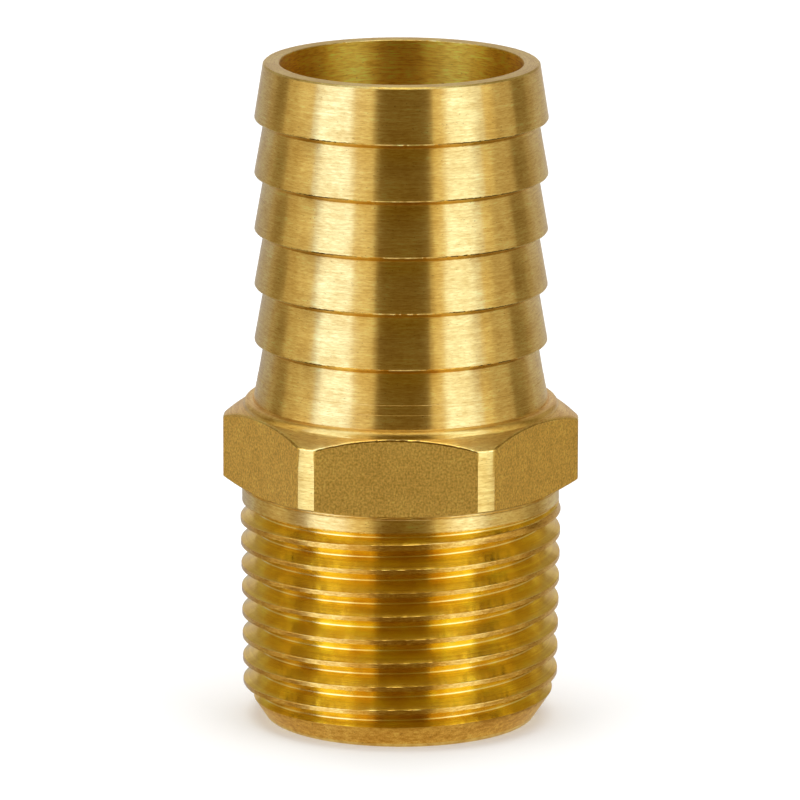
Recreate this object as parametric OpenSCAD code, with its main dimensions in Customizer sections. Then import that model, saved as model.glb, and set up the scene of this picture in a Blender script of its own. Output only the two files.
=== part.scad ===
/* [Bore] */
// Diameter of the bore that runs right through
bore_d = 20.7; // [12:0.1:22]

/* [Hose barb] */
// Number of barbs, the plain cone above the hexagon not counted
barb_count = 5; // [2:1:8]
// Distance from the rim down to the first barb edge
first_edge_drop = 4.65; // [3:0.05:9]
// Distance from one barb edge to the next
barb_pitch = 4.8; // [3:0.1:8]
// Wall between the bore and the step under each barb
barb_wall = 1.35; // [0.8:0.05:3]
// How far each barb edge stands out from the step above the next cone
barb_rise = 0.76; // [0.3:0.02:2]
// Height of the undercut back of each barb
barb_back_h = 0.46; // [0.2:0.02:1.6]
// Blunt edge left on each barb
barb_land = 0.06; // [0.04:0.02:0.3]
// Wall at the rim, measured under its chamfer
rim_wall = 1.4; // [0.8:0.05:3]
// Chamfer between the rim and the first cone
rim_chamfer = 0.15; // [0.1:0.05:0.5]
// Height of the plain cone between the last barb and the hexagon
plain_cone_h = 4.68; // [2:0.02:20]
// Wall at the foot of the plain cone, on the collar
cone_foot_wall = 2.21; // [1:0.01:3]

/* [Hexagon] */
// Size across the flats
hex_flats = 27; // [26:0.1:30]
// Diameter to which the six corners are turned down
hex_corner_d = 30.3; // [28.6:0.1:34]
// Level of the underside of the hexagon
hex_z = 20.2; // [14:0.1:40]
// Height from the underside of the hexagon to the foot of the plain cone, the collar included
hex_h = 7.55; // [4:0.05:20]
// Width of the level ledge round the foot of the plain cone
collar_ledge = 0.88; // [0.2:0.02:1]
// Height of the round collar that carries the ledge
collar_h = 0.62; // [0.2:0.02:1.2]
// Chamfer round the edge of the collar
collar_chamfer = 0.2; // [0.1:0.02:0.4]
// Slope of the top chamfer, in degrees from level
hex_top_angle = 29; // [10:1:45]
// Slope of the bottom chamfer, in degrees from level
hex_bottom_angle = 16; // [5:1:45]
// Diameter of the narrow bead between neck and hexagon
bead_d = 27.2; // [26.9:0.02:28]
// Height of the bead
bead_h = 0.25; // [0.2:0.05:0.8]

/* [Taper thread] */
// Diameter of the plain neck between hexagon and thread
neck_d = 27.08; // [25:0.02:27.18]
// Distance from the underside of the hexagon down to where the groove starts to fade
neck_h = 2.06; // [1.8:0.02:6]
// Diameter over the thread crests, carried down to the end face
thread_d = 26.82; // [26:0.02:28]
// Taper of the thread, as growth in diameter for each millimetre of length
thread_taper = 0.031; // [0:0.001:0.0625]
// Thread pitch
thread_pitch = 2.04; // [1.4:0.02:2.6]
// Width of the flat left on the thread crests
crest_flat = 0.36; // [0.2:0.02:0.6]
// Width of the flat at the thread roots
root_flat = 0.1; // [0.06:0.02:0.3]
// Included angle of the thread groove, in degrees
thread_angle = 60; // [50:1:75]
// Direction in which the groove starts to fade, in degrees round from the right-hand side
fade_direction = 152; // [0:1:359]
// Angle through which the groove fades out
fade_angle = 320; // [120:10:360]
// Rise of the fading groove, as for a whole turn
fade_rise = 1.38; // [0.6:0.02:2]
// Width of the flat end face, from the bore to the end chamfer
end_face_w = 1.1; // [0.4:0.05:1.6]
// Slope of the end chamfer, in degrees from the axis
end_angle = 34; // [25:1:50]

/* [Hidden] */

BRASS = [0.8, 0.62, 0.3];
// Full circle, in degrees
TURN = 360;
// Facets round each turned surface
TURNED_SIDES = 96;
// Facets in each turn of the thread groove
GROOVE_SIDES = 48;
// Corners of the groove's section
GROOVE_CORNERS = 4;
HEX_SIDES = 6;
// How far a cutter reaches past the metal that it clears
REACH = 0.14;

bore_r = bore_d / 2;
bead_r = bead_d / 2;
neck_r = neck_d / 2;

// Barb, from the bore outwards
barb_step_r = bore_r + barb_wall;
barb_edge_r = barb_step_r + barb_rise;
rim_r = bore_r + rim_wall;
cone_foot_r = bore_r + cone_foot_wall;

// Levels, from the hexagon up to the rim
cone_foot_z = hex_z + hex_h;
cone_top_z = cone_foot_z + plain_cone_h;
function edge_z(index) = cone_top_z + barb_back_h + barb_land + index * barb_pitch;
rim_z = edge_z(barb_count - 1) + first_edge_drop;

// Hexagon
flat_r = hex_flats / 2;
corner_r = hex_corner_d / 2;
sharp_corner_r = flat_r / cos(TURN / 2 / HEX_SIDES);
bead_top_z = hex_z + bead_h;
collar_r = cone_foot_r + collar_ledge;
collar_z = cone_foot_z - collar_h;
hex_shoulder_z = collar_z - (corner_r - collar_r) * tan(hex_top_angle);
hex_skirt_z = bead_top_z + (corner_r - bead_r) * tan(hex_bottom_angle);
// The flats are cut down almost to the top of the bead
flats_z = bead_top_z - bead_h / 5;

// Thread: crest cone, groove depth and end chamfer
function crest_r(z) = (thread_d + thread_taper * z) / 2;
groove_depth = (thread_pitch - crest_flat - root_flat) / 2 / tan(thread_angle / 2);
fade_z = hex_z - neck_h;
// The crest cone runs into the neck where the groove is still deep
neck_end_z = fade_z + thread_pitch / 4;
end_r = bore_r + end_face_w;
chamfer_top_z = (crest_r(0) - end_r) / (tan(end_angle) - thread_taper / 2);

// The groove starts below the end face and climbs to the level at which it fades
groove_start_z = -thread_pitch / 4;
full_steps = ceil((fade_z - groove_start_z) / thread_pitch * GROOVE_SIDES);
fade_steps = ceil(fade_angle / TURN * GROOVE_SIDES);
groove_steps = full_steps + fade_steps;

// Angle along the groove, nought where it starts to fade
function groove_turn(step) = (step - full_steps) * TURN / GROOVE_SIDES;
function groove_z(turn) = fade_z + turn / TURN * (turn < 0 ? thread_pitch : fade_rise);
// The cutting tool is drawn back as the groove fades
function groove_lift(turn) = turn < 0 ? 0 : (groove_depth + REACH) * turn / fade_angle;
function groove_root_r(turn) = crest_r(groove_z(turn)) - groove_depth + groove_lift(turn);

function groove_point(turn, r, rise) = [
    r * cos(fade_direction + turn),
    r * sin(fade_direction + turn),
    groove_z(turn) + rise
];

// Section of the groove: root flat, then the two flanks out past the crest
function groove_section(turn) =
    let (root_r = groove_root_r(turn))
    let (mouth_r = root_r + groove_depth + REACH)
    let (root_half = root_flat / 2)
    let (mouth_half = root_half + (mouth_r - root_r) * tan(thread_angle / 2))
    [
        groove_point(turn, root_r, -root_half),
        groove_point(turn, root_r, root_half),
        groove_point(turn, mouth_r, mouth_half),
        groove_point(turn, mouth_r, -mouth_half)
    ];

// Two triangles of the groove's skin, between one section and the next
function skin_faces(step, corner) =
    let (near_a = step * GROOVE_CORNERS + corner)
    let (near_b = step * GROOVE_CORNERS + (corner + 1) % GROOVE_CORNERS)
    let (far_a = near_a + GROOVE_CORNERS)
    let (far_b = near_b + GROOVE_CORNERS)
    [[near_b, near_a, far_a], [near_b, far_a, far_b]];

// Helical thread groove, as a solid to cut away
module thread_groove() {
    first_cap = [for (corner = [0 : GROOVE_CORNERS - 1]) corner];
    last_cap = [for (corner = [GROOVE_CORNERS - 1 : -1 : 0]) groove_steps * GROOVE_CORNERS + corner];
    skin = [
        for (step = [0 : groove_steps - 1])
            for (corner = [0 : GROOVE_CORNERS - 1])
                each skin_faces(step, corner)
    ];
    polyhedron(
        points = [for (step = [0 : groove_steps]) each groove_section(groove_turn(step))],
        faces = concat([first_cap], skin, [last_cap]),
        convexity = 12
    );
}

// Outline of one barb: its blunt edge, then the step back to the next cone
function barb_outline(z) = [
    [barb_edge_r, z],
    [barb_edge_r, z - barb_land],
    [barb_step_r, z - barb_land - barb_back_h]
];

// Turned blank, outlined from the rim down to the threaded end
module turned_blank() {
    rim = [[0, 0], [0, rim_z], [rim_r - rim_chamfer, rim_z], [rim_r, rim_z - rim_chamfer]];
    barbs = [for (index = [barb_count - 1 : -1 : 0]) each barb_outline(edge_z(index))];
    collar = [
        [cone_foot_r, cone_foot_z],
        [collar_r - collar_chamfer, cone_foot_z],
        [collar_r, cone_foot_z - collar_chamfer],
        [collar_r, collar_z]
    ];
    hexagon = [[corner_r, hex_shoulder_z], [corner_r, hex_skirt_z]];
    neck = [[bead_r, bead_top_z], [bead_r, hex_z], [neck_r, hex_z], [neck_r, neck_end_z]];
    thread = [[crest_r(fade_z), fade_z], [crest_r(chamfer_top_z), chamfer_top_z], [end_r, 0]];
    rotate_extrude($fn = TURNED_SIDES)
        polygon(concat(rim, barbs, collar, hexagon, neck, thread));
}

// Metal outside the six flats, as a solid to cut away
module flats_cutter() {
    translate([0, 0, flats_z])
        difference() {
            cylinder(r = max(corner_r, sharp_corner_r) + REACH, h = hex_h, $fn = TURNED_SIDES);
            translate([0, 0, -REACH])
                cylinder(r = sharp_corner_r, h = hex_h + 2 * REACH, $fn = HEX_SIDES);
        }
}

// Bore with its two open ends, as a solid to cut away
module bore_cutter() {
    translate([0, 0, -REACH])
        cylinder(r = bore_r, h = rim_z + 2 * REACH, $fn = TURNED_SIDES);
}

// One turned piece of brass: hose barb, hexagon, neck and taper thread, with one bore through all
module fitting_body() {
    color(BRASS)
        difference() {
            turned_blank();
            flats_cutter();
            thread_groove();
            bore_cutter();
        }
}

fitting_body();
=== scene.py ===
"""Looks of the straight hose fitting: one turned brass piece, its floor, lamps and camera."""

import logging
import math
from dataclasses import dataclass, field
from enum import Enum
from typing import Callable, Sequence

import bpy
import numpy as np
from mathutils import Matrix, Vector

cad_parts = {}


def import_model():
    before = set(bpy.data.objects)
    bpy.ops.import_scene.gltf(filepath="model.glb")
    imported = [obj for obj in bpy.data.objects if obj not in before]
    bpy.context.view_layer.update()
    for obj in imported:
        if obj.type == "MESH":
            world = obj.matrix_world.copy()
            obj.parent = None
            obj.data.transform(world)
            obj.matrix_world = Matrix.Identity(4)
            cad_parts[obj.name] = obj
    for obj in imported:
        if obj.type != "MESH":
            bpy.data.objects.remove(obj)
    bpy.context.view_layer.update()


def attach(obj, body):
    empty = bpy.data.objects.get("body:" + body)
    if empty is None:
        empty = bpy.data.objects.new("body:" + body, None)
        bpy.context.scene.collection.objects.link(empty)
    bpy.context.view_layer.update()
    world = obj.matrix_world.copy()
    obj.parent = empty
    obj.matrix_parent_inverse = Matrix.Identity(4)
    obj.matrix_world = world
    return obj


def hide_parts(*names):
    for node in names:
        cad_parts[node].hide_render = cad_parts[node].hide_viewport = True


LOG = logging.getLogger("hose_fitting")

Array, Socket, Tree = np.ndarray, bpy.types.NodeSocket, bpy.types.NodeTree
Object = bpy.types.Object
Pair, Triple = tuple[float, float], tuple[float, float, float]
Colour = tuple[float, float, float, float]
# Plain values or sockets that feed the inputs of a shader node
Value = Socket | float | Sequence[float]
Inputs = dict[str | int, Value]
# Rings as radius and height of each column, and unevenness of the columns from a seed and a width
Rows = list[tuple[Array, Array]]
Noise = Callable[[int, int], Array]

MM = 0.001
FULL_TURN = 2.0 * math.pi
# Columns of mesh round the axis, shared by all the turned surfaces so that they join
COLUMNS = 480
# Vertices closer than this are one vertex
WELD = 0.004 * MM
# Ends between which nearly all of a noise lies, for its marks and for the roughness
NOISE_ENDS, ROUGH_ENDS = (0.3, 0.7), (0.35, 0.65)
# Turns the radial tangent to run along the tool marks
ALONG_MARKS = 0.25
WHITE = (1.0, 1.0, 1.0, 1.0)
SIXTH = FULL_TURN / 6
QUARTER = math.pi / 2


class Surface(Enum):
    """Finishes of the brass piece, in the order of its material slots."""

    BARB = 0
    HEX_FLAT = 1
    HEX_TURNED = 2
    THREAD = 3
    CREST = 4
    RIM = 5
    BORE = 6
    NECK = 7
    UNDERCUT = 8
    # Painted light: the downward flank gets paler brass than the thread, as it sits in shade
    LOWER_FLANK = 9
    # Painted highlight: the root flat gets paler brass, so that it shows as a bright line
    ROOT = 10
    EDGE = 11


def srgb(red: float, green: float, blue: float) -> Colour:
    """Turns a colour as seen on a screen into the linear values that shaders use.

    Args:
        red: red part, 0 to 255.
        green: green part, 0 to 255.
        blue: blue part, 0 to 255.

    Returns:
        The linear colour with alpha 1.
    """
    linear = []
    for value in (red, green, blue):
        share = value / 255.0
        linear.append(share / 12.92 if share <= 0.04045 else ((share + 0.055) / 1.055) ** 2.4)
    return (linear[0], linear[1], linear[2], 1.0)


def deselect_everything() -> None:
    """Leaves object mode with nothing selected."""
    if bpy.context.object and bpy.context.object.mode != "OBJECT":
        bpy.ops.object.mode_set(mode="OBJECT")
    bpy.ops.object.select_all(action="DESELECT")


def feed(tree: Tree, node: bpy.types.Node, inputs: Inputs) -> None:
    """Links or sets inputs of a shader node.

    Args:
        tree: tree that holds the node.
        node: the node.
        inputs: socket or plain value for each input.
    """
    for name, value in inputs.items():
        if isinstance(value, Socket):
            tree.links.new(value, node.inputs[name])
        else:
            node.inputs[name].default_value = value


def add_node(
    tree: Tree, kind: str, inputs: Inputs, output: str | int = 0, **settings: str
) -> Socket:
    """Adds a shader node.

    Args:
        tree: tree that gets the node.
        kind: type of the node, without its word ShaderNode.
        inputs: socket or plain value for each input.
        output: name or number of the wanted output.
        settings: options of the node.

    Returns:
        The socket of that output.
    """
    node = tree.nodes.new(f"ShaderNode{kind}")
    for name, value in settings.items():
        setattr(node, name, value)
    feed(tree, node, inputs)
    return node.outputs[output]


# Finishes


@dataclass(frozen=True)
class BrassFinish:
    """One finish of the brass, drawn from object coordinates, with its lengths in millimetres.

    Tool marks run round the axis, streaks are longer marks, and specks are small spots of tarnish.
    """

    name: str
    base: Colour
    rough_low: float = 0.275
    rough_high: float = 0.31
    anisotropy: float = 0.0
    mark_across: float = 0.085
    mark_along: float = 0.55
    mark_contrast: float = 0.42
    mark_height: float = 0.0012
    streak_length: float = 7.0
    streak_width: float = 2.5
    streak_contrast: float = 0.24
    grain_size: float = 0.12
    grain_contrast: float = 0.1
    grain_height: float = 0.0006
    cloud_size: float = 1.8
    cloud_contrast: float = 0.24
    speck_size: Triple = (0.3, 0.3, 0.16)
    speck_ends: Pair = (0.66, 0.74)
    speck_share: float = 0.5
    speck_colour: Colour = (0.36, 0.16, 0.035, 1.0)
    swing: Triple = (0.6, 0.95, 1.5)

    def material(self) -> bpy.types.Material:
        """Builds the finish as a material.

        Returns:
            The new material.
        """
        made = bpy.data.materials.new(self.name)
        made.use_nodes = True
        tree = made.node_tree
        place = add_node(tree, "TexCoord", {}, "Object")
        turned = self._turned_place(tree, place)
        along, across = 1 / self.mark_along, 1 / self.mark_across
        streak_along, streak_across = along / self.streak_length, across / self.streak_width
        marks = self._noise(tree, turned, (along, along, across))
        streaks = self._noise(tree, turned, (streak_along, streak_along, streak_across), 1.0)
        grain = self._noise(tree, place, (1 / self.grain_size,) * 3)
        clouds = self._noise(tree, place, (1 / self.cloud_size,) * 3)
        colour = self.base[:3]
        for source, contrast in (
            (marks, self.mark_contrast),
            (streaks, self.streak_contrast),
            (grain, self.grain_contrast),
            (clouds, self.cloud_contrast),
        ):
            colour = self._shaded(tree, colour, source, contrast)
        specks = self._noise(tree, turned, [1 / size for size in self.speck_size])
        spotted = self._range(tree, specks, self.speck_ends, (0.0, self.speck_share))
        mixed = {"Factor": spotted, 6: colour, 7: self.speck_colour}
        inputs = {
            "Metallic": 1.0,
            "Base Color": add_node(tree, "Mix", mixed, 2, data_type="RGBA"),
            "Roughness": self._range(tree, grain, ROUGH_ENDS, (self.rough_low, self.rough_high)),
        }
        bump = {}
        for source, height in ((marks, self.mark_height), (grain, self.grain_height)):
            if height > 0.0:
                raised = {"Distance": height * MM, "Height": source, **bump}
                bump = {"Normal": add_node(tree, "Bump", raised)}
        inputs.update(bump)
        if self.anisotropy > 0.0:
            inputs["Anisotropic"] = self.anisotropy
            inputs["Anisotropic Rotation"] = ALONG_MARKS
            inputs["Tangent"] = add_node(tree, "Tangent", {}, direction_type="RADIAL", axis="Z")
        feed(tree, tree.nodes["Principled BSDF"], inputs)
        return made

    @staticmethod
    def _turned_place(tree: Tree, place: Socket) -> Socket:
        """Gives coordinates whose third part runs across the tool marks on every turned face.

        Args:
            tree: tree that gets the nodes.
            place: socket of the object coordinates.

        Returns:
            The socket of x, y and height less radius.
        """
        flat = add_node(tree, "VectorMath", {0: place, 1: (1.0, 1.0, 0.0)}, operation="MULTIPLY")
        radius = add_node(tree, "VectorMath", {0: flat}, "Value", operation="LENGTH")
        parts = add_node(tree, "SeparateXYZ", {0: place}).node.outputs
        third = add_node(tree, "Math", {0: parts["Z"], 1: radius}, operation="SUBTRACT")
        return add_node(tree, "CombineXYZ", {"X": parts["X"], "Y": parts["Y"], "Z": third})

    def _shaded(self, tree: Tree, colour: Value, source: Socket, contrast: float) -> Socket:
        """Darkens and lightens a colour by a noise, its blue part the most, as tarnish does.

        Args:
            tree: tree that gets the nodes.
            colour: socket of the colour, or the colour itself.
            source: socket of the noise, 0 to 1.
            contrast: whole swing of the brightness between the noise's usual ends.

        Returns:
            The socket of the new colour.
        """
        level = self._range(tree, source, NOISE_ENDS, (-contrast / 2, contrast / 2))
        swing = add_node(tree, "VectorMath", {0: self.swing, "Scale": level}, operation="SCALE")
        shift = add_node(tree, "VectorMath", {0: swing, 1: WHITE[:3]}, operation="ADD")
        return add_node(tree, "VectorMath", {0: colour, 1: shift}, operation="MULTIPLY")

    @staticmethod
    def _range(tree: Tree, source: Socket, ends: Pair, to: Pair) -> Socket:
        """Maps a value from one range to another, clamped at both ends.

        Args:
            tree: tree that gets the node.
            source: socket of the value.
            ends: values mapped to the ends of the new range.
            to: the new range.

        Returns:
            The socket of the mapped value.
        """
        inputs = {"From Min": ends[0], "From Max": ends[1], "To Min": to[0], "To Max": to[1]}
        return add_node(tree, "MapRange", {"Value": source, **inputs})

    @staticmethod
    def _noise(tree: Tree, place: Socket, per_mm: Sequence[float], detail: float = 2.0) -> Socket:
        """Adds noise with its own stretch.

        Args:
            tree: tree that gets the nodes.
            place: socket that gives the coordinates, in metres.
            per_mm: grains for each millimetre along x, y and z.
            detail: octaves of finer noise.

        Returns:
            The socket of the noise's value.
        """
        scale = tuple(value / MM for value in per_mm)
        mapped = add_node(tree, "Mapping", {"Vector": place, "Scale": scale})
        return add_node(tree, "TexNoise", {"Vector": mapped, "Scale": 1.0, "Detail": detail}, "Fac")


@dataclass(frozen=True)
class FittingFinishes:
    """All finishes of the piece, one for each kind of surface; the lower flank and the thread root
    are paler copies of the thread's brass, painted light.
    """

    barb: BrassFinish = BrassFinish("turned_barb_brass", srgb(245, 208, 126), anisotropy=1.0)
    hex_flat: BrassFinish = BrassFinish(
        "matt_flat_brass", srgb(241, 197, 98), 0.5, 0.6, mark_across=0.34, mark_along=0.1,
        mark_contrast=0.3, mark_height=0.0, streak_contrast=0.0, grain_size=0.19,
        grain_contrast=0.56, grain_height=0.014, cloud_contrast=0.12, speck_share=0.3,
        swing=(0.8, 1.0, 1.3))
    hex_turned: BrassFinish = BrassFinish(
        "faced_hexagon_brass", srgb(242, 202, 112), 0.28, 0.36, anisotropy=0.9, mark_across=0.09,
        mark_contrast=0.4, streak_contrast=0.34)
    thread: BrassFinish = BrassFinish(
        "cut_thread_brass", srgb(240, 203, 84), 0.19, 0.23, anisotropy=0.8, mark_along=4.0,
        mark_contrast=0.14, speck_share=0.25)
    crest: BrassFinish = BrassFinish(
        "thread_crest_brass", srgb(234, 184, 90), anisotropy=0.8, mark_contrast=0.6,
        grain_contrast=0.5)
    rim: BrassFinish = BrassFinish(
        "faced_rim_brass", srgb(225, 197, 118), 0.3, 0.36, anisotropy=0.7, grain_contrast=0.3)
    bore: BrassFinish = BrassFinish(
        "bored_wall_brass", srgb(254, 204, 74), 0.46, 0.52, anisotropy=1.0, mark_across=0.11,
        mark_along=0.8, mark_contrast=0.6)
    neck: BrassFinish = BrassFinish("turned_neck_brass", srgb(242, 207, 128), anisotropy=0.6)
    undercut: BrassFinish = BrassFinish(
        "undercut_barb_brass", srgb(232, 188, 82), 0.13, 0.17, mark_contrast=0.2, speck_share=0.2)
    # Painted light: a paler copy of the thread's brass for the downward flank, which sits in shade
    lower_flank: BrassFinish = BrassFinish(
        "lower_flank_painted_light", srgb(252, 226, 112), 0.17, 0.2, anisotropy=0.6, mark_along=4.0,
        mark_contrast=0.1, speck_share=0.1)
    # Painted highlight: paler brass on the root flat at the bottom of the groove, so that it shows
    # as a bright line
    root: BrassFinish = BrassFinish(
        "thread_root_painted_highlight", srgb(250, 222, 140), 0.18, 0.22, mark_along=4.0, mark_contrast=0.1,
        speck_share=0.1)
    edge: BrassFinish = BrassFinish(
        "cut_edge_brass", srgb(250, 214, 128), 0.14, 0.2, mark_along=0.3, mark_contrast=0.5,
        speck_share=0.2)

    def materials(self) -> list[bpy.types.Material]:
        """Builds every finish, in the order of the Surface names."""
        return [getattr(self, surface.name.lower()).material() for surface in Surface]


# The piece


@dataclass
class TurnedPart:
    """Sizes on which the stem, the hexagon and the thread join."""

    foot_r: float = 12.56 * MM
    foot_z: float = 27.75 * MM
    neck_r: float = 13.54 * MM
    neck_z: float = 19.6 * MM
    end_r: float = 11.45 * MM
    end_edge_z: float = 0.1 * MM
    end_slope: float = math.tan(math.radians(34))


@dataclass
class BarbStem(TurnedPart):
    """Hose barb, rim and bore: the part of the piece above the hexagon, with the inside."""

    bore_r: float = 10.35 * MM
    scores: tuple[Pair, ...] = ((28.97 * MM, 0.02 * MM), (29.80 * MM, 0.03 * MM))
    step_r: float = 11.70 * MM
    edge_r: float = 12.46 * MM
    cone_top_z: float = 32.43 * MM
    back_h: float = 0.46 * MM
    land: float = 0.06 * MM
    pitch: float = 4.8 * MM
    barbs: int = 5
    rim_r: float = 11.75 * MM
    rim_z: float = 56.8 * MM
    rim_chamfer: float = 0.14 * MM
    mouth_edge: float = 0.06 * MM
    end_face_r: float = 11.37 * MM
    edge_cut: float = 0.075 * MM
    cut_back: float = 0.92
    cut_lift: float = 0.5
    land_lift: float = 1.4
    step_round: float = 0.085 * MM
    burr: float = 0.028 * MM
    burr_swing: Pair = (-1.0, 0.6)
    burr_reach: float = 0.09 * MM
    rim_burr_depth: float = 0.01 * MM
    burr_seed: int = 23
    corners: list[Triple] = field(default_factory=list)

    def outline(self) -> list[Pair]:
        """Lists the outline from the foot of the plain cone up, over the rim and down the bore.

        Returns:
            Points as radius and height. The corners to be rounded go to the corners field.
        """
        points = [(self.foot_r, self.foot_z)]
        for score_z, depth in self.scores:
            share = (score_z - self.foot_z) / (self.cone_top_z - self.foot_z)
            cone_r = self.foot_r + (self.step_r - self.foot_r) * share
            points += [(cone_r, score_z - depth), (cone_r - depth, score_z)]
        points.append((self.step_r, self.cone_top_z))
        self.corners.append((self.step_r, self.cone_top_z, self.step_round))
        for index in range(self.barbs):
            under = self.cone_top_z + index * self.pitch
            edge_z = under + self.back_h
            points.append((self.edge_r - self.edge_cut * self.cut_back, edge_z - self.edge_cut))
            points.append((self.edge_r, edge_z + self.edge_cut * self.cut_lift))
            points.append((self.edge_r, edge_z + self.land * self.land_lift))
            top = (self.step_r, under + self.pitch)
            if index == self.barbs - 1:
                top = (self.rim_r, self.rim_z - self.rim_chamfer)
            else:
                self.corners.append((top[0], top[1], self.step_round))
            points += self._straight(points[-1], top, 2)
        points.append((self.rim_r - self.rim_chamfer, self.rim_z))
        points.append((self.bore_r + self.mouth_edge, self.rim_z))
        points.append((self.bore_r, self.rim_z - self.mouth_edge))
        points += self._straight(points[-1], (self.bore_r, self.mouth_edge), 3)
        points.append((self.bore_r + self.mouth_edge, 0.0))
        points.append((self.end_face_r, 0.0))
        points.append((self.end_r + self.end_edge_z * self.end_slope, self.end_edge_z))
        return points

    @staticmethod
    def _straight(start: Pair, end: Pair, steps: int) -> list[Pair]:
        """Divides a straight run of the outline.

        Args:
            start: first point, left out of the result.
            end: last point.
            steps: number of equal steps.

        Returns:
            The points after the start, the end included.
        """
        return [
            tuple(a + (b - a) * k / steps for a, b in zip(start, end))
            for k in range(1, steps + 1)
        ]

    def build(self) -> Object:
        """Draws the outline by extruding a vertex, rounds its corners and spins it round the axis.

        Returns:
            The stem, open at the foot of the cone and at the end chamfer.
        """
        points = self.outline()
        deselect_everything()
        bpy.ops.mesh.primitive_plane_add(size=self.bore_r, location=(0, 0, 0))
        stem = bpy.context.object
        bpy.ops.object.mode_set(mode="EDIT")
        bpy.ops.mesh.merge(type="CENTER")
        bpy.ops.transform.translate(value=(points[0][0], 0, points[0][1]))
        for (r0, z0), (r1, z1) in zip(points, points[1:]):
            step = {"value": (r1 - r0, 0, z1 - z0)}
            bpy.ops.mesh.extrude_region_move(TRANSFORM_OT_translate=step)
        for r, z, size in self.corners:
            self._select_near(stem, r, z)
            bpy.ops.mesh.bevel(offset=size, offset_type="OFFSET", segments=2, affect="VERTICES")
        bpy.ops.mesh.select_all(action="SELECT")
        bpy.ops.mesh.spin(steps=COLUMNS, angle=FULL_TURN, center=(0, 0, 0), axis=(0, 0, 1))
        bpy.ops.mesh.select_all(action="SELECT")
        bpy.ops.mesh.remove_doubles(threshold=WELD)
        bpy.ops.object.mode_set(mode="OBJECT")
        self._fray_edges(stem)
        return stem

    def _fray_edges(self, stem: Object) -> None:
        """Moves the sharp edges a little in and out, as a turning tool leaves them.

        Args:
            stem: the spun stem.
        """
        places = np.empty(len(stem.data.vertices) * 3)
        stem.data.vertices.foreach_get("co", places)
        places = places.reshape(-1, 3)
        r = np.hypot(places[:, 0], places[:, 1])
        azimuth = np.arctan2(places[:, 1], places[:, 0])
        column = np.round(azimuth / FULL_TURN * COLUMNS).astype(int) % COLUMNS
        source = np.random.default_rng(self.burr_seed)
        edges = [
            (self.edge_r, self.cone_top_z + index * self.pitch + self.back_h)
            for index in range(self.barbs)
        ]
        edges.append((self.rim_r - self.rim_chamfer, self.rim_z))
        edges.append((self.bore_r + self.mouth_edge, self.rim_z))
        for edge_r, edge_z in edges:
            shift = source.uniform(*self.burr_swing, COLUMNS)[column] * self.burr
            near = np.hypot(r - edge_r, places[:, 2] - edge_z) < self.burr_reach
            if edge_z == self.rim_z:
                near &= places[:, 2] > self.rim_z - self.rim_burr_depth
                places[near, :2] *= 1.0 + shift[near, None] / edge_r
            else:
                places[near, 2] += shift[near]
        stem.data.vertices.foreach_set("co", places.reshape(-1))
        stem.data.update()

    @staticmethod
    def _select_near(stem: Object, r: float, z: float) -> None:
        """Selects the one vertex of the outline at a place.

        Args:
            stem: object in edit mode.
            r: radius of the place.
            z: height of the place.
        """
        bpy.ops.mesh.select_all(action="DESELECT")
        bpy.ops.object.mode_set(mode="OBJECT")
        place = Vector((r, 0, z))
        nearest = min(stem.data.vertices, key=lambda vertex: (vertex.co - place).length)
        nearest.select = True
        bpy.ops.object.mode_set(mode="EDIT")


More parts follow.
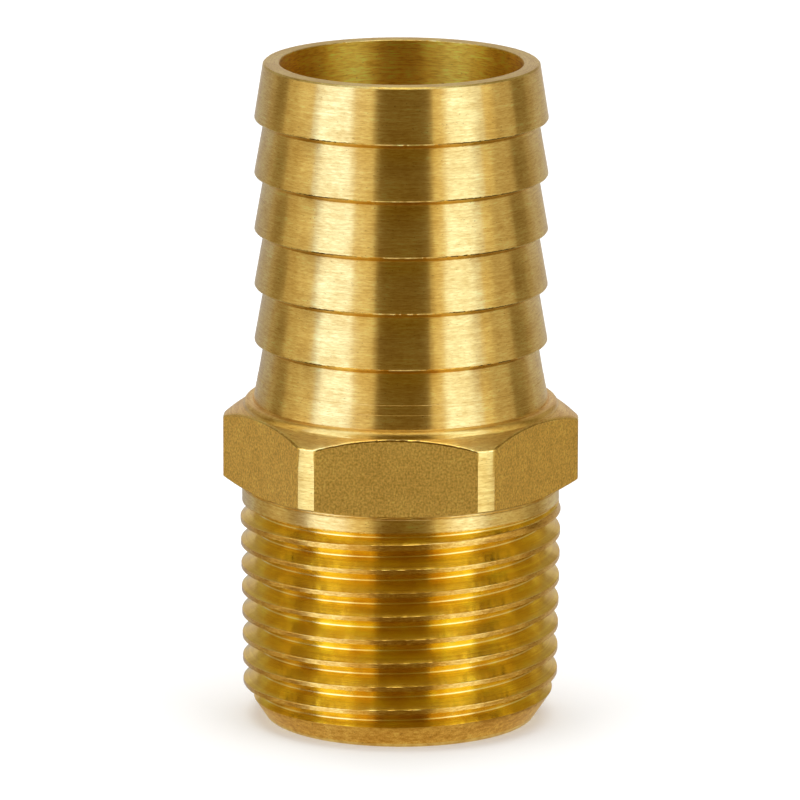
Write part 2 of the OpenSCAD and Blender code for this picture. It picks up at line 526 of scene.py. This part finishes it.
@dataclass
class Hexagon(TurnedPart):
    """Hexagon with chamfers and turned corners, the round collar on top and the bead under it."""

    flat_r: float = 13.5 * MM
    corner_r: float = 15.147 * MM
    collar_r: float = 13.40 * MM
    collar_z: float = 27.15 * MM
    collar_round: float = 0.48 * MM
    top_slope: float = math.tan(math.radians(29))
    top_swell: float = 0.03 * MM
    bottom_slope: float = math.tan(math.radians(16))
    bead_r: float = 13.6 * MM
    under_z: float = 20.2 * MM
    bead_top_z: float = 20.45 * MM
    edge: float = 0.075 * MM
    edge_room: float = 0.13 * MM
    burr: float = 0.045 * MM
    edge_seed: int = 11
    ring_seed: int = 17
    flat_slack: float = 1e-4
    flat_tuck: float = 0.05 * MM
    # Cut under the bead, and the fine notch round it: how deep, and its lower and upper ends
    under_cut: Triple = (0.05 * MM, 0.005 * MM, 0.07 * MM)
    notch: Triple = (0.04 * MM, 0.03 * MM, 0.04 * MM)
    bead_lip: float = 0.02 * MM
    top_parts: Triple = (0.33, 0.67, 0.95)
    collar_lift: float = 0.04 * MM
    collar_steps: int = 6
    # Torn ring round the foot of the cone: its outer and inner reach, and its height
    torn_ring: Triple = (0.09 * MM, 0.05 * MM, 0.03 * MM)

    @staticmethod
    def _off_flat(angles: Array) -> Array:
        """Angle of each direction from the middle of its flat."""
        return (angles + QUARTER + SIXTH / 2) % SIXTH - SIXTH / 2

    def _shoulder(self, r: Array) -> Array:
        """Works out the top chamfer, which swells a little between collar and corner.

        Args:
            r: radius of each column.

        Returns:
            Its height in each column.
        """
        share = (r - self.collar_r) / (self.corner_r - self.collar_r)
        plain_z = self.collar_z - (r - self.collar_r) * self.top_slope
        return plain_z + self.top_swell * np.sin(np.pi * share)

    def rows(self, angles: Array, noise: Noise) -> Rows:
        """Works out the rings of the hexagon from the neck up to the plain cone.

        Args:
            angles: direction of each column.
            noise: smooth unevenness for each column.

        Returns:
            The rings, from the lowest up.
        """
        wall = np.minimum(self.flat_r / np.cos(self._off_flat(angles)), self.corner_r)
        outside = wall > self.bead_r
        tucked = np.clip((wall - self.flat_r) / (self.bead_r - self.flat_r), 0.0, 1.0)
        bead_z = self.bead_top_z - self.flat_tuck * (1.0 - tucked)
        skirt_z = bead_z + (np.maximum(wall, self.bead_r) - self.bead_r) * self.bottom_slope
        shoulder_z = self._shoulder(wall)
        notch_z = (self.under_z + self.bead_top_z) / 2
        cut_in, cut_low, cut_high = self.under_cut
        notch_in, notch_low, notch_high = self.notch
        edge = self.edge
        rows = [
            (self.neck_r, self.neck_z),
            (self.neck_r, self.under_z),
            (self.bead_r - cut_in, self.under_z + cut_low),
            (self.bead_r, self.under_z + cut_high),
            (self.bead_r, notch_z - notch_low),
            (self.bead_r - notch_in, notch_z),
            (self.bead_r, notch_z + notch_high),
            (self.bead_r, bead_z - self.bead_lip),
            (self.bead_r + (wall - self.bead_r) * 0.5, bead_z + (skirt_z - bead_z) * 0.5),
            (wall - edge * outside, skirt_z - edge * self.bottom_slope * outside),
            (wall, skirt_z + edge),
            (wall, skirt_z + (shoulder_z - skirt_z) * 0.5),
        ]
        # The broken and burred upper edge, in widths of the edge and of its burr
        room = np.clip((wall - self.collar_r) / self.edge_room, 0.0, 1.0)
        rough_edge = self.burr * noise(self.edge_seed, 1)
        worn = np.abs(rough_edge)
        inner = wall - edge * 1.6 * room
        rows += [
            (wall, shoulder_z - edge * 1.4 - worn),
            (wall - edge * 0.5 * room, shoulder_z - edge * 0.2 - worn * 0.4),
            (inner, shoulder_z + edge * 0.85 * room + rough_edge * 0.2),
        ]
        for part in self.top_parts:
            r = inner + (self.collar_r - inner) * part
            rows.append((r, self._shoulder(r)))
        rows.append((self.collar_r, self.collar_z + self.collar_lift))
        for step in range(self.collar_steps + 1):
            turn = QUARTER * step / self.collar_steps
            r = self.collar_r - self.collar_round * (1.0 - math.cos(turn))
            z = self.foot_z - self.collar_round * (1.0 - math.sin(turn))
            rows.append((r, z))
        torn = np.abs(noise(self.ring_seed, 2)) * self.burr
        torn_out, torn_in, torn_up = self.torn_ring
        rows.append((self.foot_r + torn_out + torn, self.foot_z))
        rows.append((self.foot_r + torn_in + torn * 0.5, self.foot_z + torn_up))
        rows.append((self.foot_r, self.foot_z))
        level = np.ones_like(angles)
        return [(level * r, level * z) for r, z in rows]

    def surfaces(self, angles: Array) -> list[Array]:
        """Names the finish of each face between one ring and the next.

        Args:
            angles: direction of each column.

        Returns:
            The finish of every column's face, for each gap.
        """
        middle = angles + FULL_TURN / COLUMNS / 2
        half_flat = math.acos(self.flat_r / self.corner_r) + self.flat_slack
        on_flat = np.abs(self._off_flat(middle)) < half_flat
        neck, turned, edge = (
            np.full(angles.shape, kind.value)
            for kind in (Surface.NECK, Surface.HEX_TURNED, Surface.EDGE)
        )
        side = np.where(on_flat, Surface.HEX_FLAT.value, Surface.HEX_TURNED.value)
        above = len(self.top_parts) + self.collar_steps + 5
        return [neck] * 7 + [turned] * 3 + [side] * 2 + [edge] * 2 + [turned] * above


@dataclass
class TaperThread(TurnedPart):
    """Taper pipe thread: crest cone, helical groove that fades into the neck, and end chamfer."""

    crest_at_end_r: float = 13.409 * MM
    growth: float = 0.0155
    pitch: float = 2.04 * MM
    crest_flat: float = 0.36 * MM
    root_flat: float = 0.1 * MM
    flank_slope: float = math.tan(math.radians(30))
    fade_z: float = 18.14 * MM
    fade_direction: float = math.radians(151.5)
    fade_angle: float = math.radians(320)
    fade_rise: float = 1.38 * MM
    low_z: float = 0.3 * MM
    reach: float = 0.14 * MM
    edge_round: float = 0.055 * MM
    burr: float = 0.024 * MM
    burr_rise: float = 0.01 * MM
    burr_limit_r: float = 13.665 * MM
    torn_seed: int = 40
    frayed_seed: int = 80
    # Parts of a crest's width between which its two rows lie
    first_span: Pair = (0.3, 0.5)
    second_span: Pair = (0.6, 0.75)
    # Largest share of a groove's width that one rounding or burr takes
    most: float = 1 / 8
    halvings: int = 40
    least_cut: float = 1e-7

    @property
    def depth(self) -> float:
        """Depth of the groove."""
        return (self.pitch - self.crest_flat - self.root_flat) / 2 / self.flank_slope

    @property
    def turns(self) -> int:
        """Turns of groove in each column, the fading one included."""
        return math.ceil(self.fade_z / self.pitch) + 1

    def crest_r(self, z: Array) -> Array:
        """Radius of the crest cone at a height."""
        return self.crest_at_end_r + self.growth * z

    def blank_r(self, z: Array) -> Array:
        """Radius of the turned blank before the groove is cut.

        Args:
            z: heights.

        Returns:
            The radius at each height.
        """
        neck_end = self.fade_z + self.pitch / 4
        share = np.clip((z - self.fade_z) / (neck_end - self.fade_z), 0.0, 1.0)
        above = self.crest_r(self.fade_z) + (self.neck_r - self.crest_r(self.fade_z)) * share
        cone = np.where(z < self.fade_z, self.crest_r(z), above)
        return np.minimum(cone, self.end_r + z * self.end_slope)

    def groove(self, turn: Array) -> tuple[Array, Array]:
        """Height of the groove's middle and radius of its root.

        Args:
            turn: angle along the groove, nought where it starts to fade.

        Returns:
            Heights and radii.
        """
        rise = np.where(turn < 0.0, self.pitch, self.fade_rise)
        z = self.fade_z + turn / FULL_TURN * rise
        lift = np.clip(turn / self.fade_angle, 0.0, None) * (self.depth + self.reach)
        return z, self.crest_r(z) - self.depth + lift

    def limits(self, z: Array, root: Array) -> tuple[Array, Array]:
        """Heights at which the two flanks leave the blank.

        Args:
            z: height of the groove's middle in each column.
            root: radius of its root.

        Returns:
            Lower and upper heights. They meet where the groove lies outside the metal.
        """
        half = self.root_flat / 2
        low, high = z.copy(), z.copy()
        span = np.full_like(z, self.pitch)
        for _ in range(self.halvings):
            span = span / 2
            for edge, sign in ((low, -1.0), (high, 1.0)):
                trial = edge + sign * span
                flank = root + np.maximum(np.abs(trial - z) - half, 0.0) / self.flank_slope
                inside = flank < self.blank_r(trial)
                edge[inside] = trial[inside]
        outside = root >= self.blank_r(z)
        near = z + half
        grazing = outside & (root < self.blank_r(near))
        low[grazing] = np.clip((root[grazing] - self.end_r) / self.end_slope, 0.0, None)
        low[outside & ~grazing] = z[outside & ~grazing]
        high[outside & ~grazing] = z[outside & ~grazing]
        return low, high

    def rows(self, angles: Array, noise: Noise) -> tuple[Rows, list[int]]:
        """Works out the threaded skin, column by column.

        Args:
            angles: angle of each column from the fading point, nought to a full turn inclusive.
            noise: smooth unevenness for each column.

        Returns:
            The rows from the end chamfer up to the neck, and the finish over each row.
        """
        rows = []
        for height in (self.end_edge_z, self.low_z):
            below = np.full_like(angles, height)
            rows.append((self.blank_r(below), below))
        kinds = [Surface.NECK] * 2
        ring_z = (self.crest_at_end_r - self.end_r) / (self.end_slope - self.growth)
        for index in range(-self.turns + 1, 1):
            turn = angles + index * FULL_TURN
            z, root = self.groove(turn)
            low, high = self.limits(z, root)
            cut = high - low > self.least_cut
            if index == 0:
                left = (turn - self.fade_angle) / (FULL_TURN - self.fade_angle)
                z = np.where(cut, z, z + (self.neck_z - z) * np.clip(left, 0.0, 1.0))
            if index == -self.turns + 1:
                gone = np.clip(1.0 - turn / FULL_TURN - self.turns + 1, 0.0, 1.0)
                z = np.where(cut, z, z + (self.low_z - z) * gone)
            low, high = np.where(cut, low, z), np.where(cut, high, z)
            rows += self._ridge(below, low, ring_z)
            rows += self._valley(z, root, low, high, noise, index)
            # Lower flank and root get paler brass: painted light and a painted highlight in the
            # shaded groove
            groove = [Surface.THREAD, Surface.ROOT, Surface.LOWER_FLANK]
            kinds += [Surface.CREST] * 3 + [Surface.EDGE, *groove, Surface.EDGE]
            kinds += [Surface.CREST] * 2
            below = high
        rows.append((np.full_like(angles, self.neck_r), np.full_like(angles, self.neck_z)))
        kinds[-1] = Surface.NECK
        return rows, [kind.value for kind in kinds]

    def _ridge(self, below: Array, above: Array, ring_z: float) -> Rows:
        """Rows on the crest between two grooves.

        Args:
            below: upper limit of the groove below.
            above: lower limit of the groove above.
            ring_z: height of the edge between end chamfer and crest cone.

        Returns:
            Two rows of radius and height.
        """
        width = np.maximum(above - below, 0.0)
        rows = []
        for wanted, (start, end) in ((ring_z, self.first_span), (self.fade_z, self.second_span)):
            z = np.clip(wanted, below + width * start, below + width * end)
            rows.append((self.blank_r(z), z))
        return rows

    def _valley(
        self, z: Array, root: Array, low: Array, high: Array, noise: Noise, index: int
    ) -> Rows:
        """Rows from one crest edge down the groove and up to the next crest edge.

        Args:
            z: height of the groove's middle.
            root: radius of its root.
            low: height at which the lower flank leaves the blank.
            high: height at which the upper flank leaves the blank.
            noise: unevenness for each column.
            index: number of the turn, for the seed.

        Returns:
            Eight rows of radius and height.
        """
        half = self.root_flat / 2
        room = np.maximum(high - low, 0.0) * self.most
        soft = np.minimum(self.edge_round, room)
        torn = noise(self.torn_seed + index, 1) * np.minimum(self.burr, room)
        frayed = noise(self.frayed_seed + index, 1) * np.minimum(self.burr, room)

        def flank(height: Array) -> Array:
            """Radius of the groove at a height inside its limits."""
            return root + np.maximum(np.abs(height - z) - half, 0.0) / self.flank_slope

        # The edges, in parts of their rounding and of their burr
        start = low - soft
        rows = [(self.blank_r(start), start + torn * 0.2)]
        rows.append((self.blank_r(low) - soft * 0.35, low + torn * 0.4))
        for height in (low + soft * 0.7, z - half, z + half, high - soft * 0.7):
            height = np.clip(height, low, high)
            rows.append((np.minimum(flank(height), self.blank_r(height)), height))
        swell = 0.4 + 0.6 * np.clip(frayed / self.burr, -1.0, 1.0)
        plain_r = self.blank_r(high)
        proud_r = np.minimum(plain_r + np.minimum(self.burr_rise, room) * swell, self.burr_limit_r)
        rows.append((np.maximum(plain_r, proud_r), high + frayed))
        end = high + soft * 1.6
        rows.append((self.blank_r(end), end + np.abs(frayed) * 0.6))
        return rows


@dataclass
class FittingBody:
    """The whole turned piece: stem, hexagon and thread joined into one closed mesh."""

    stem: BarbStem = field(default_factory=BarbStem)
    hexagon: Hexagon = field(default_factory=Hexagon)
    thread: TaperThread = field(default_factory=TaperThread)
    seed: int = 7
    # How far the stem's finishes reach, and how steep their faces are
    bore_skin: float = 0.02 * MM
    rim_depth: float = 0.3 * MM
    end_height: float = 1.0 * MM
    facing_up: float = 0.6
    facing_down: float = -0.3
    under_barb: float = -0.7
    smooth_angle: float = math.radians(25)

    def unevenness(self, count: int) -> Noise:
        """Makes a source of smooth unevenness round the axis.

        Args:
            count: number of columns.

        Returns:
            A function of a seed and a width in columns, giving values from about -1 to 1.
        """

        def draw(offset: int, width: int) -> Array:
            """Draws one ring of values and smooths it.

            Args:
                offset: added to the seed.
                width: number of columns that each value is smoothed over.

            Returns:
                A value for each column.
            """
            source = np.random.default_rng(self.seed + offset)
            values = source.uniform(-1.0, 1.0, count)
            kernel = np.ones(width) / width
            wrapped = np.concatenate([values[-width:], values, values[:width]])
            return np.convolve(wrapped, kernel, "same")[width:-width] * math.sqrt(width)

        return draw

    @staticmethod
    def skin(name: str, rows: Rows, angles: Array, finishes: Sequence[int | Array]) -> Object:
        """Makes a mesh of rings with the same columns.

        Args:
            name: name of the new object.
            rows: radius and height of each ring's columns, from the lowest up.
            angles: direction of each column.
            finishes: finish of the faces over each ring, one number or one for each column.

        Returns:
            The new object, open at both ends.
        """
        radii = np.array([row[0] for row in rows])
        heights = np.array([row[1] for row in rows])
        points = np.stack([radii * np.cos(angles), radii * np.sin(angles), heights], axis=-1)
        ring_count, column_count = radii.shape
        numbers = np.arange(ring_count * column_count).reshape(ring_count, column_count)
        low, high = numbers[:-1], numbers[1:]
        corners = np.stack([low[:, :-1], low[:, 1:], high[:, 1:], high[:, :-1]], axis=-1)
        mesh = bpy.data.meshes.new(name)
        mesh.from_pydata(points.reshape(-1, 3).tolist(), [], corners.reshape(-1, 4).tolist())
        over_rings = finishes[: ring_count - 1]
        kinds = np.array([np.broadcast_to(kind, column_count)[:-1] for kind in over_rings])
        mesh.polygons.foreach_set("material_index", kinds.reshape(-1).astype(np.int32))
        made = bpy.data.objects.new(name, mesh)
        bpy.context.scene.collection.objects.link(made)
        return made

    def lower_skins(self) -> list[Object]:
        """Builds the surfaces under the stem.

        Returns:
            The skins of hexagon and thread.
        """
        around = np.arange(COLUMNS + 1) * FULL_TURN / COLUMNS
        ring_noise = self.unevenness(COLUMNS)

        def closed_noise(offset: int, width: int) -> Array:
            """Unevenness whose last column repeats the first."""
            values = ring_noise(offset, width)
            return np.append(values, values[0])

        def helical_noise(offset: int, width: int) -> Array:
            """Unevenness that runs on from one turn into the next."""
            return np.append(ring_noise(offset, width), ring_noise(offset + 1, width)[0])

        rows, finishes = self.hexagon.rows(around, closed_noise), self.hexagon.surfaces(around)
        hexagon = self.skin("hexagon", rows, around, finishes)
        rows, finishes = self.thread.rows(around, helical_noise)
        thread = self.skin("thread", rows, around + self.thread.fade_direction, finishes)
        return [hexagon, thread]

    def paint_stem(self, stem: Object) -> None:
        """Gives the stem's faces their finishes by place.

        Args:
            stem: the spun stem.
        """
        for face in stem.data.polygons:
            middle = face.center
            r = math.hypot(middle.x, middle.y)
            kind = Surface.BARB
            at_rim = middle.z > self.stem.rim_z - self.rim_depth
            if r < self.stem.bore_r + self.bore_skin:
                kind = Surface.BORE
            elif at_rim and abs(face.normal.z) > self.facing_up:
                kind = Surface.RIM
            elif middle.z < self.end_height:
                kind = Surface.NECK
            elif face.normal.z < self.facing_down:
                kind = Surface.UNDERCUT if face.normal.z < self.under_barb else Surface.EDGE
            face.material_index = kind.value

    def build(self, materials: list[bpy.types.Material]) -> Object:
        """Builds, joins and dresses the piece.

        Args:
            materials: finishes, in the order of the Surface names.

        Returns:
            The finished piece.
        """
        body = self.stem.build()
        self.paint_stem(body)
        skins = self.lower_skins()
        for made in [body, *skins]:
            for material in materials:
                made.data.materials.append(material)
        deselect_everything()
        for made in [*skins, body]:
            made.select_set(True)
        bpy.context.view_layer.objects.active = body
        bpy.ops.object.join()
        body.name = body.data.name = "turned_fitting"
        bpy.ops.object.mode_set(mode="EDIT")
        bpy.ops.mesh.select_all(action="SELECT")
        bpy.ops.mesh.remove_doubles(threshold=WELD)
        bpy.ops.mesh.dissolve_degenerate(threshold=WELD / 4)
        bpy.ops.mesh.normals_make_consistent(inside=False)
        bpy.ops.object.mode_set(mode="OBJECT")
        bpy.ops.object.shade_smooth_by_angle(angle=self.smooth_angle)
        even = body.modifiers.new("even_normals", "WEIGHTED_NORMAL")
        even.mode = "FACE_AREA"
        even.keep_sharp = True
        bpy.ops.object.modifier_apply(modifier=even.name)
        body.location = (0, 0, 0)
        return body


# The studio


@dataclass(frozen=True)
class LightBand:
    """Ring of upright panels that meet edge to edge, by its lower and upper end in degrees.

    Each panel is its right end in degrees from the camera's side, its light, and its own upper
    end where it has one.
    """

    low: float
    high: float
    panels: tuple[tuple, ...]


# Bands that the camera sees in the barbs, in the neck and the crests, and in the thread's flanks
STUDIO_BANDS = (
    LightBand(-3.0, 75.0, (
        (-158.0, (0.60, 0.54, 0.48)),
        (-122.0, (0.40, 0.35, 0.25)),
        (-105.0, (0.19, 0.15, 0.06)),
        (-91.0, (0.66, 0.58, 0.36)),
        (-74.0, (1.1, 1.05, 0.80)),
        (-40.0, (1.25, 1.6, 2.6)),
        (-22.0, (0.80, 0.75, 0.555)),
        (25.0, (0.115, 0.075, 0.006), 60.0),
        (36.0, (0.86, 0.76, 0.45)),
        (68.0, (1.25, 1.55, 2.2)),
        (79.0, (1.05, 0.98, 0.68)),
        (101.0, (0.57, 0.50, 0.34)),
        (120.0, (0.16, 0.12, 0.04)),
        (158.0, (0.38, 0.32, 0.20)),
        (180.0, (0.60, 0.54, 0.48)),
    )),
    LightBand(-26.0, -3.0, (
        (-132.0, (0.45, 0.46, 0.48)),
        (-110.0, (0.40, 0.33, 0.18)),
        (-90.0, (0.60, 0.52, 0.33)),
        (-70.0, (0.24, 0.15, 0.03)),
        (-40.0, (1.45, 1.65, 2.2)),
        (-20.0, (0.96, 0.82, 0.46)),
        (24.0, (0.19, 0.12, 0.015)),
        (36.0, (0.98, 0.84, 0.42)),
        (61.0, (1.40, 1.55, 1.80)),
        (74.0, (0.58, 0.46, 0.22)),
        (101.0, (0.62, 0.55, 0.36)),
        (130.0, (0.40, 0.34, 0.20)),
        (180.0, (0.55, 0.54, 0.50)),
    )),
    LightBand(-73.0, -26.0, (
        (-148.0, (0.34, 0.30, 0.20)),
        (-118.0, (0.30, 0.26, 0.16)),
        (-92.0, (0.07, 0.05, 0.015)),
        (-66.0, (0.44, 0.38, 0.22)),
        (-40.0, (0.68, 0.60, 0.38)),
        (-22.0, (0.47, 0.41, 0.25)),
        (25.0, (0.24, 0.185, 0.05)),
        (38.0, (0.34, 0.29, 0.18)),
        (60.0, (0.70, 0.62, 0.38)),
        (72.0, (0.40, 0.33, 0.20)),
        (101.0, (0.10, 0.08, 0.03)),
        (135.0, (0.12, 0.10, 0.06)),
        (180.0, (0.34, 0.30, 0.20)),
    )),
)


@dataclass
class Studio:
    """Floor, room light, lamps, mirrored panels and camera."""

    sensor: float = 36.0
    lens: float = 379.0
    distance: float = 0.7
    height: float = 0.18714
    pitch: float = math.radians(12.846)
    orbit: float = math.radians(1.7)
    roll: float = -0.0024
    aside: float = -0.451 * MM
    view_end: float = 50.0
    floor_size: float = 12.0
    floor_colour: Colour = (0.86, 0.86, 0.86, 1.0)
    floor_glow: float = 0.15
    room_light: float = 0.5
    lamp_distance: float = 1.0
    lamp_width: float = 0.8
    lamp_height: float = 1.6
    lamp_lift: float = 0.05
    lamp_power: float = 6.2
    above_place: Triple = (0.0, 0.3, 1.45)
    above_size: Pair = (1.4, 1.2)
    above_power: float = 14.0
    wall_r: float = 1.0
    wall_step: float = 3.0
    eye_z: float = 0.03
    ceiling_z: float = 3.8
    ceiling_light: Triple = (2.0, 1.8, 1.1)
    # Dim disc under the piece, seen only in the metal: a painted reflection of the floor's shadow,
    # since the floor is hidden from mirrored rays
    floor_shade_disc_r: float = 0.0142
    floor_shade_disc_z: float = -0.0005
    floor_shade_light: Triple = (0.58, 0.48, 0.28)
    disc_sides: int = 48

    def build(self) -> None:
        """Sets the whole studio up."""
        self.add_floor()
        self.add_world()
        self.add_lamps()
        self.add_panels()
        self.add_camera()

    def add_floor(self) -> None:
        """Lays a plain pale floor that keeps the piece's shadow."""
        bpy.ops.mesh.primitive_plane_add(size=self.floor_size, location=(0, 0, 0))
        floor = bpy.context.object
        floor.name = "floor"
        paint = bpy.data.materials.new("pale_floor")
        paint.use_nodes = True
        tree = paint.node_tree
        seen = {0: self._seen_plainly(tree), 1: self.floor_glow}
        feed(tree, tree.nodes["Principled BSDF"], {
            "Base Color": self.floor_colour,
            "Roughness": 1.0,
            "Specular IOR Level": 0.0,
            "Emission Color": WHITE,
            "Emission Strength": add_node(tree, "Math", seen, operation="MULTIPLY"),
        })
        floor.data.materials.append(paint)
        floor.visible_glossy = False

    def add_world(self) -> None:
        """Gives the room a plain white light, and shows white behind the piece."""
        world = bpy.data.worlds.new("studio")
        bpy.context.scene.world = world
        world.use_nodes = True
        tree = world.node_tree
        sky = tree.nodes["Background"]
        feed(tree, sky, {"Color": WHITE, "Strength": self.room_light})
        seen = add_node(tree, "Background", {"Strength": 1.0})
        lights = {"Fac": self._seen_plainly(tree), 1: sky.outputs[0], 2: seen}
        mixed = add_node(tree, "MixShader", lights)
        feed(tree, tree.nodes["World Output"], {"Surface": mixed})

    @staticmethod
    def _seen_plainly(tree: Tree) -> Socket:
        """Finds whether a ray comes straight from the camera, a mirror or clear glass.

        Args:
            tree: tree that gets the nodes.

        Returns:
            A socket that is 1 for such a ray and 0 for others.
        """
        shown = add_node(tree, "LightPath", {}, "Is Camera Ray")
        rays = shown.node.outputs
        for kind in ("Is Glossy Ray", "Is Transmission Ray"):
            shown = add_node(tree, "Math", {0: shown, 1: rays[kind]}, operation="MAXIMUM")
        return shown

    def _around(self, azimuth: float, distance: float, z: float) -> Vector:
        """Place at an azimuth from the camera's side.

        Args:
            azimuth: degrees, positive to the camera's right.
            distance: metres from the axis.
            z: height in metres.

        Returns:
            The place.
        """
        a = math.radians(azimuth) + self.orbit
        return Vector((math.sin(a) * distance, -math.cos(a) * distance, z))

    def add_lamps(self) -> None:
        """Hangs soft lamps at the camera's sides and above, which light the floor."""
        size = (self.lamp_width, self.lamp_height)
        middle_z = self.lamp_height / 2 + self.lamp_lift
        for name, azimuth in (("lamp_left", -57.0), ("lamp_right", 51.5)):
            place = self._around(azimuth, self.lamp_distance, middle_z)
            self._lamp(name, place, Vector((0, 0, place.z)), size, self.lamp_power)
        above = Vector(self.above_place)
        self._lamp("lamp_above", above, Vector((0, 0, 0)), self.above_size, self.above_power)

    @staticmethod
    def _lamp(name: str, place: Vector, target: Vector, size: Pair, power: float) -> None:
        """Adds one rectangular lamp.

        Args:
            name: name of the lamp.
            place: its middle.
            target: point that it faces.
            size: width and height in metres.
            power: power in watts.
        """
        data = bpy.data.lights.new(name, "AREA")
        data.shape = "RECTANGLE"
        data.size, data.size_y = size
        data.energy = power
        lamp = bpy.data.objects.new(name, data)
        lamp.visible_glossy = False
        lamp.location = place
        lamp.rotation_euler = (place - target).to_track_quat("Z", "Y").to_euler()
        bpy.context.scene.collection.objects.link(lamp)

    def add_panels(self) -> None:
        """Stands bright and dim panels all round, which the brass mirrors as its upright bands."""
        index = 0
        for ring in STUDIO_BANDS:
            start = -180.0
            for end, radiance, *own_top in ring.panels:
                band = (ring.low, own_top[0] if own_top else ring.high)
                self._panel(f"panel_{index}", (start, end), band, radiance)
                start = end
                index += 1
        # Also a bright disc overhead, and a dim disc under the piece that is a painted reflection
        # of the shaded floor
        for name, r, z, radiance in (
            ("panel_above", self.wall_r, self.ceiling_z, self.ceiling_light),
            ("painted_floor_shade", self.floor_shade_disc_r, self.floor_shade_disc_z, self.floor_shade_light),
        ):
            bpy.ops.mesh.primitive_circle_add(
                vertices=self.disc_sides, radius=r, fill_type="NGON", location=(0, 0, z))
            self._only_mirrored(bpy.context.object, name, radiance)

    def _panel(self, name: str, ends: Pair, band: Pair, radiance: Triple) -> None:
        """Builds one upright panel, bent round the piece.

        Args:
            name: name of the panel.
            ends: its left and right end in degrees.
            band: its lower and upper end in degrees.
            radiance: light that it sends out.
        """
        start, end = ends
        steps = max(2, math.ceil((end - start) / self.wall_step))
        heights = [math.tan(math.radians(angle)) * self.wall_r + self.eye_z for angle in band]
        points = []
        for step in range(steps + 1):
            azimuth = start + (end - start) * step / steps
            points += [self._around(azimuth, self.wall_r, z) for z in heights]
        faces = [(2 * k, 2 * k + 1, 2 * k + 3, 2 * k + 2) for k in range(steps)]
        mesh = bpy.data.meshes.new(name)
        mesh.from_pydata(points, [], faces)
        made = bpy.data.objects.new(name, mesh)
        bpy.context.scene.collection.objects.link(made)
        self._only_mirrored(made, name, radiance)

    @staticmethod
    def _only_mirrored(made: Object, name: str, radiance: Triple) -> None:
        """Makes an object glow, but only as metal mirrors it.

        Args:
            made: the panel.
            name: name of the panel and its material.
            radiance: light that it sends out.
        """
        made.name = name
        made.visible_camera = made.visible_diffuse = False
        made.visible_transmission = made.visible_shadow = False
        paint = bpy.data.materials.new(name)
        paint.use_nodes = True
        tree = paint.node_tree
        tree.nodes.remove(tree.nodes["Principled BSDF"])
        peak = max(radiance)
        colour = (*(value / peak for value in radiance), 1.0)
        light = add_node(tree, "Emission", {"Color": colour, "Strength": peak})
        feed(tree, tree.nodes["Material Output"], {"Surface": light})
        made.data.materials.append(paint)

    def add_camera(self) -> None:
        """Places the camera as the photograph was taken, with a long lens from a little above."""
        data = bpy.data.cameras.new("camera")
        data.sensor_width = self.sensor
        data.lens = self.lens
        data.clip_end = self.view_end
        camera = bpy.data.objects.new("camera", data)
        bpy.context.scene.collection.objects.link(camera)
        side = Vector((math.cos(self.orbit), math.sin(self.orbit), 0))
        camera.location = self._around(0.0, self.distance, self.height) + side * self.aside
        camera.rotation_euler = (math.pi / 2 - self.pitch, self.roll, self.orbit)
        bpy.context.scene.camera = camera


def main() -> None:
    """Builds the piece on its frame, then the studio round it."""
    logging.basicConfig(level=logging.INFO, format="%(name)s: %(message)s")
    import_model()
    scene = bpy.context.scene
    scene.view_settings.view_transform = "Standard"
    body = FittingBody().build(FittingFinishes().materials())
    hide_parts("fitting_body")
    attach(body, "root")
    LOG.info("%s: %d faces", body.name, len(body.data.polygons))
    Studio().build()


if __name__ == "__main__":
    main()
